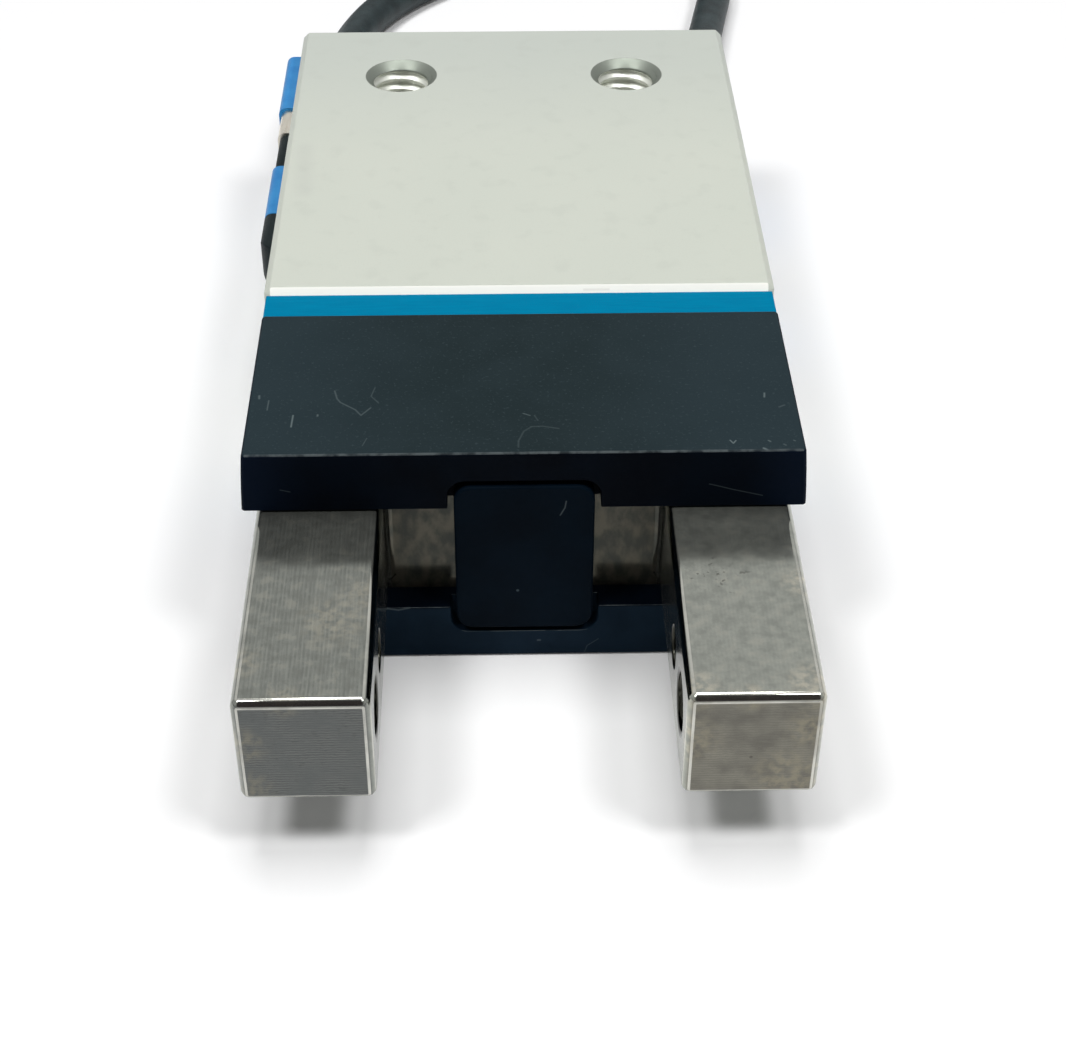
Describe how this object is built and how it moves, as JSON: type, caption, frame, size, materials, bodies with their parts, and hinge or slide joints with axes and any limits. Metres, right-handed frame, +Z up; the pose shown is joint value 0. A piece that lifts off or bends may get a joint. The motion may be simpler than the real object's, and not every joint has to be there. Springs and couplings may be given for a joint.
{
  "type": "parallel gripper",
  "caption": "Small pneumatic gripper with steel jaws that slide apart in a slotted guide block, a grey housing with mounting holes, and proximity switches on coiled leads.",
  "frame": {"origin": "midway between the two mounting holes, on the underside of the housing", "axes": "+X across the gripper, to the right as seen from above with the jaws towards the viewer; +Y from the jaw tips to the rear; +Z up, out of the large face with the hole mouths"},
  "size_m": [0.044, 0.1634, 0.013],
  "materials": {
    "housing_metal": "light grey satin anodising",
    "blue_plate": "blue satin",
    "guide_black": "black treated steel, lightly worn",
    "stop_black": "black treated steel",
    "jaw_steel": "ground tool steel with stains",
    "inner_steel": "hardened and ground",
    "inner_aluminium": "turned",
    "spring_steel": "drawn wire",
    "screw_steel": "black oxide",
    "bush_brass": "sintered bronze",
    "seal_rubber": "matte",
    "magnet": "dark matte",
    "switch_black": "fine matte",
    "switch_blue": "smooth satin",
    "clamp_metal": "nickel plated",
    "lead_jacket": "dark satin jacket",
    "tie_plastic": "matte nylon",
    "plug_black": "matte moulding",
    "nut_metal": "nickel plated and knurled"
  },
  "bodies": {
    "body": {"housing": "housing_metal", "spacer_plate": "blue_plate", "guide_block": "guide_black", "centre_stop": "stop_black", "stop_pin": "inner_steel", "lever_pins": "inner_steel", "cylinder_cover": "inner_aluminium", "cover_seal": "seal_rubber", "rod_bush": "bush_brass", "rod_seal": "seal_rubber", "guide_screws": "screw_steel", "guide_dowels": "inner_steel", "return_spring": "spring_steel", "left_switch_body": "switch_black", "left_switch_band": "switch_blue", "left_switch_clamp": "clamp_metal", "left_clamp_screw": "clamp_metal", "left_switch_tail": "switch_blue", "right_switch_body": "switch_black", "right_switch_band": "switch_blue", "right_switch_clamp": "clamp_metal", "right_clamp_screw": "clamp_metal", "right_switch_tail": "switch_blue", "lead_coil": "lead_jacket", "coil_tie": "tie_plastic", "left_lead": "lead_jacket", "left_lead_end": "lead_jacket", "left_plug_grip": "plug_black", "left_plug_nut": "nut_metal", "left_plug_insert": "plug_black", "right_lead": "lead_jacket", "right_lead_end": "lead_jacket", "right_plug_grip": "plug_black", "right_plug_nut": "nut_metal", "right_plug_insert": "plug_black"},
    "left_jaw": {"left_jaw": "jaw_steel"},
    "right_jaw": {"right_jaw": "jaw_steel"},
    "left_lever": {"left_lever": "inner_steel"},
    "right_lever": {"right_lever": "inner_steel"},
    "piston": {"piston": "inner_aluminium", "piston_seal": "seal_rubber", "magnet_ring": "magnet", "magnet_retainer": "inner_steel", "piston_rod": "inner_steel"}
  },
  "joints": [
    {"name": "left_jaw_slide", "type": "slide", "parent": "body", "child": "left_jaw", "axis": [-1, 0, 0], "range_m": [0, 0.003], "stiffness_N_per_m": 600, "springref_m": -0.005},
    {"name": "right_jaw_slide", "type": "slide", "parent": "body", "child": "right_jaw", "axis": [1, 0, 0], "range_m": [0, 0.003]},
    {"name": "left_lever_turn", "type": "hinge", "parent": "body", "child": "left_lever", "pos_m": [-0.0079, -0.02861, 0.0065], "axis": [0, 0, -1], "range_deg": [0, 28.05]},
    {"name": "right_lever_turn", "type": "hinge", "parent": "body", "child": "right_lever", "pos_m": [0.0079, -0.02861, 0.0065], "axis": [0, 0, 1], "range_deg": [0, 28.05]},
    {"name": "piston_slide", "type": "slide", "parent": "body", "child": "piston", "axis": [0, -1, 0], "range_m": [0, 0.00252], "deforming": ["return_spring"]}
  ],
  "couplings": [
    {"joint": "right_jaw_slide", "follows": "left_jaw_slide", "ratio": 1},
    {"joint": "left_lever_turn", "follows": "left_jaw_slide", "rad_per_m": 163.18},
    {"joint": "right_lever_turn", "follows": "left_jaw_slide", "rad_per_m": 163.18},
    {"joint": "piston_slide", "follows": "left_jaw_slide", "ratio": 0.84006}
  ]
}
